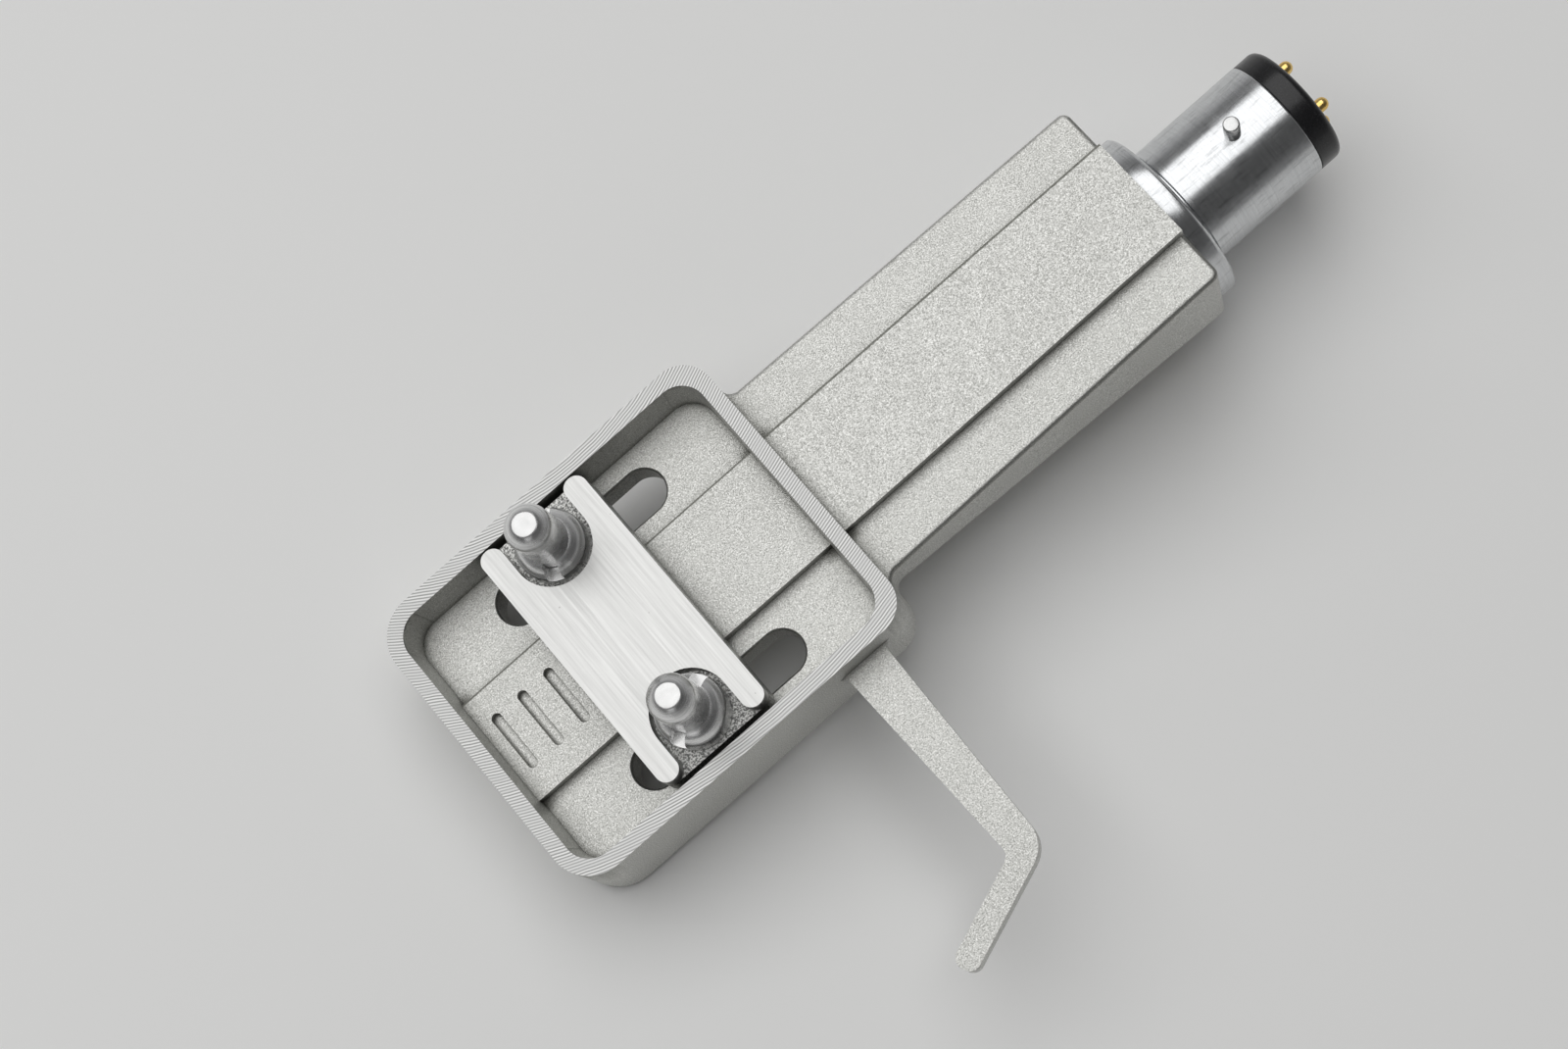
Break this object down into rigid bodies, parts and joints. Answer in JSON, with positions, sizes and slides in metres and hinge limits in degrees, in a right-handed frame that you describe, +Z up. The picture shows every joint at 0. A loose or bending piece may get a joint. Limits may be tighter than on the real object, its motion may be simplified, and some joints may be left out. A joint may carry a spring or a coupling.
{
  "type": "turntable headshell",
  "caption": "Cast headshell with a bayonet plug, a finger lift, an open tray and a sliding clamp for the cartridge screws.",
  "frame": {"origin": "on the plug's axis, in the plane of the flange face that seats against the arm", "axes": "+X forwards to the front of the head, +Y to the finger lift, +Z up out of the open tray"},
  "size_m": [0.0623, 0.0371, 0.0224],
  "materials": {
    "cast_shell": "as cast, fine grain",
    "turned_sleeve": "turned",
    "pin_steel": "bright",
    "black_insulator": "satin moulded",
    "gold_contact": "gold plated",
    "brushed_plate": "brushed along its length",
    "turned_nut": "turned bright",
    "turned_screw": "turned bright"
  },
  "bodies": {
    "base": {"shell": "cast_shell", "bayonet_sleeve": "turned_sleeve", "locating_pin": "pin_steel", "insulator": "black_insulator", "contact_pin_1": "gold_contact", "contact_pin_2": "gold_contact", "contact_pin_3": "gold_contact", "contact_pin_4": "gold_contact"},
    "clamp": {"clamp_plate": "brushed_plate", "clamp_nut_1": "turned_nut", "clamp_nut_2": "turned_nut", "clamp_screw_1": "turned_screw", "clamp_screw_2": "turned_screw"}
  },
  "joints": [
    {"name": "clamp_slide", "type": "slide", "parent": "base", "child": "clamp", "axis": [1, 0, 0], "range_m": [-0.0057, 0.0038]}
  ]
}
